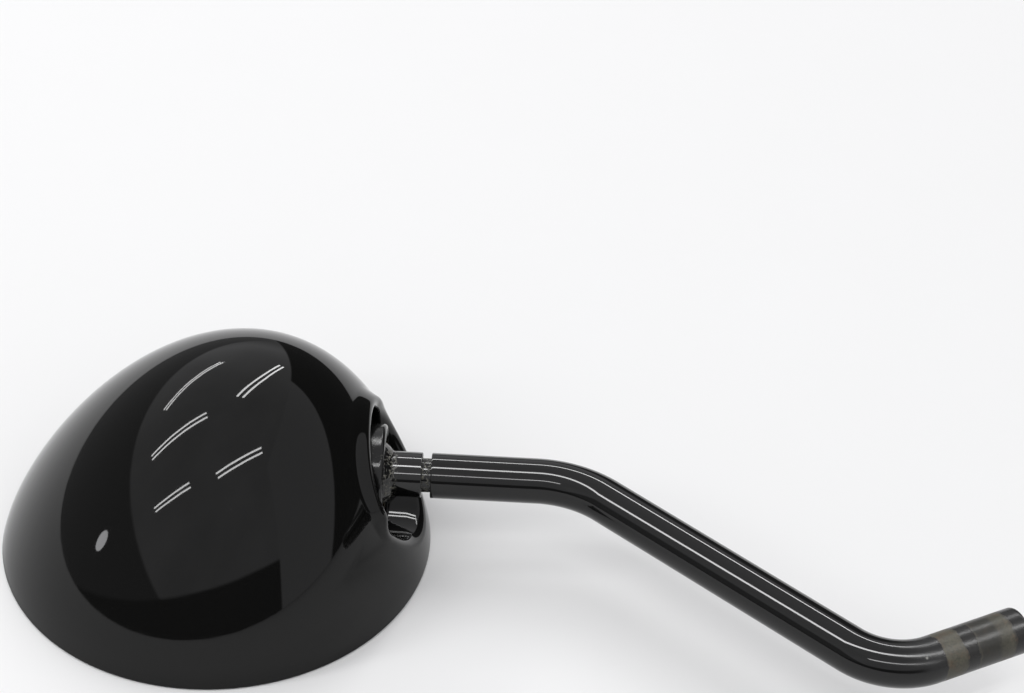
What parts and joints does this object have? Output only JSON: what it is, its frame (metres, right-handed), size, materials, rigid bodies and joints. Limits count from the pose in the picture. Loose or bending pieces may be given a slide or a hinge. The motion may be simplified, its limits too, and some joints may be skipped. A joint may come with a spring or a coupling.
{
  "type": "motorcycle mirror",
  "caption": "Round motorcycle mirror with a deep gloss-black housing, a ball joint in a side pocket and a bent tube stem with a plain end for a clamp.",
  "frame": {"origin": "bottom centre of the part's box, on the plane that the housing's rim rests on", "axes": "+Z from the glass to the housing's top, +X from the head along the stem's neck"},
  "size_m": [0.2668, 0.1234, 0.06],
  "materials": {
    "gloss_shell": "mirror-gloss black",
    "rubber": "matt",
    "mirror_glass": "silvered behind the glass",
    "foam": "closed-cell foam",
    "zinc_steel": "bright zinc",
    "black_nylon": "moulded, lightly greased",
    "brass": "turned",
    "spring_steel": "blued",
    "gloss_steel": "gloss black, worn through in the clamp's place"
  },
  "bodies": {
    "stem": {"ball_stud": "gloss_steel", "stem_tube": "gloss_steel", "end_plug": "gloss_steel"},
    "rear_seat": {"rear_cup": "brass"},
    "front_seat": {"seat_ring": "brass"},
    "head": {"housing": "gloss_shell", "rim_seal": "rubber", "mirror_glass": "mirror_glass", "foam_pad": "foam", "backing_plate": "zinc_steel", "plate_screws": "zinc_steel", "socket_bush": "black_nylon", "socket_gasket": "rubber", "pressure_plate": "zinc_steel", "disc_spring_front": "spring_steel", "disc_spring_rear": "spring_steel", "clamp_bracket": "zinc_steel", "clamp_screws": "zinc_steel", "lock_washers": "spring_steel"}
  },
  "joints": [
    {"name": "head_turn", "type": "hinge", "parent": "stem", "child": "rear_seat", "pos_m": [-0.03694, 0.00422, 0.0255], "axis": [1, 0, 0], "continuous": true},
    {"name": "head_tilt", "type": "hinge", "parent": "rear_seat", "child": "front_seat", "pos_m": [-0.03694, 0.00422, 0.0255], "axis": [0, 1, 0], "range_deg": [-15, 15]},
    {"name": "head_swing", "type": "hinge", "parent": "front_seat", "child": "head", "pos_m": [-0.03694, 0.00422, 0.0255], "axis": [0, 0, 1], "range_deg": [-15, 15]}
  ]
}
